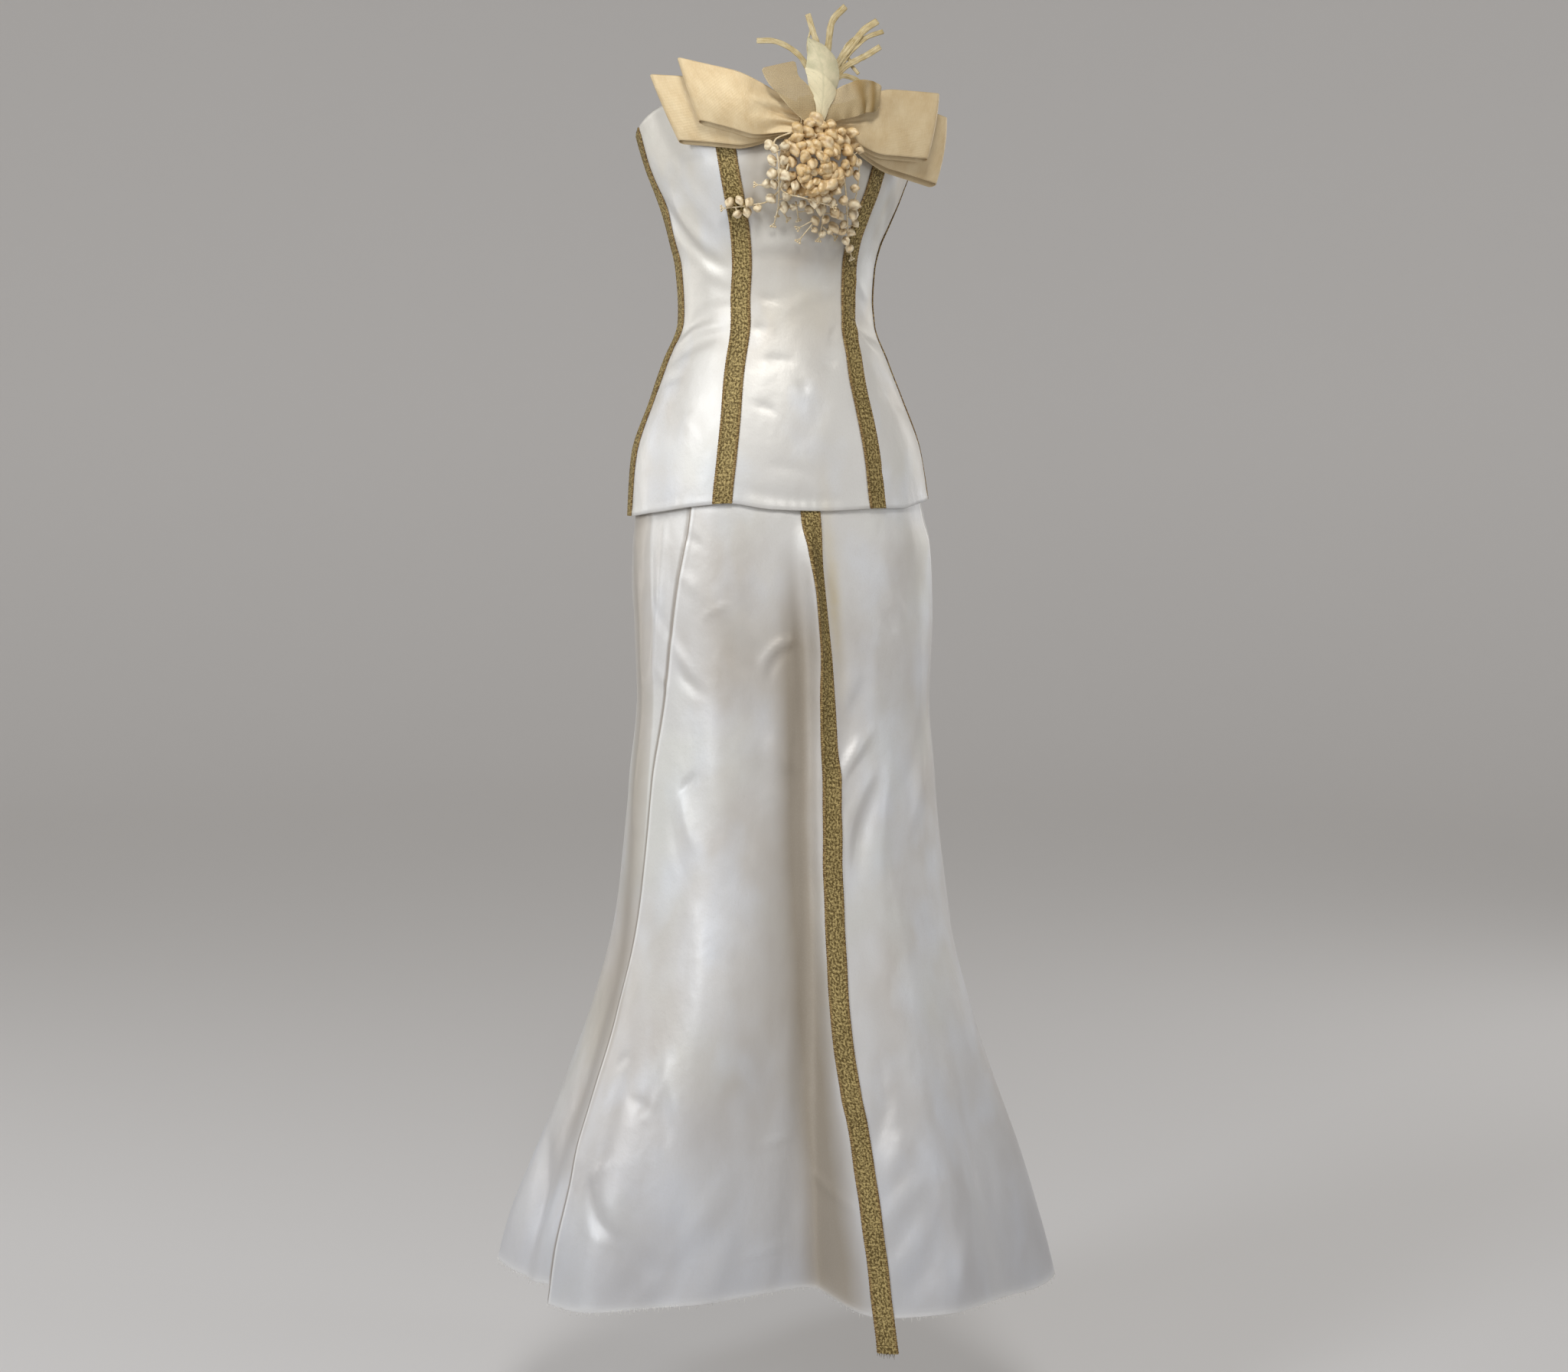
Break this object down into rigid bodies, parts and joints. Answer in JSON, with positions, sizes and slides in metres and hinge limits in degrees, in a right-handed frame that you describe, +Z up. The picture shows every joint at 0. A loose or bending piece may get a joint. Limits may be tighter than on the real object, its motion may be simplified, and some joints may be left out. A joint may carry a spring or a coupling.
{
  "type": "corset and skirt set",
  "caption": "Strapless satin corset over a long flared gored skirt, with woven braid down the seams and a ribbon bow, leaf, straw strips and bud spray at the neckline.",
  "frame": {"origin": "middle of the waist, where the wearer holds the set", "axes": "+Z up; the front faces -Y; +X is the wearer's left"},
  "size_m": [0.6162, 0.5384, 1.4102],
  "materials": {
    "satin": "ivory satin, soft sheen",
    "braid": "woven antique gold braid",
    "ribbon": "champagne satin ribbon",
    "organza": "sheer tan organza",
    "leaf": "pale cloth leaf",
    "straw": "flat straw",
    "buds": "small matt buds on wired stems"
  },
  "bodies": {
    "root": {"corset_centre_front": "satin", "corset_side_front_left": "satin", "corset_side_front_right": "satin", "corset_back_left": "satin", "corset_back_right": "satin", "skirt_front_right": "satin", "skirt_front_left": "satin", "skirt_side_right": "satin", "skirt_side_right_top": "satin", "skirt_back_right": "satin", "skirt_back_left": "satin", "waistband": "satin", "braid_front_left": "braid", "braid_front_right": "braid", "braid_side_left": "braid", "braid_side_right": "braid", "braid_skirt": "braid", "bow_loop_back_left": "ribbon", "bow_loop_back_right": "ribbon", "bow_loop_front_left": "ribbon", "bow_loop_front_right": "ribbon", "bow_wrap": "ribbon", "organza_tab_left": "organza", "organza_petal_right": "organza", "leaf": "leaf", "straw_strips": "straw", "bud_spray": "buds"}
  },
  "joints": []
}
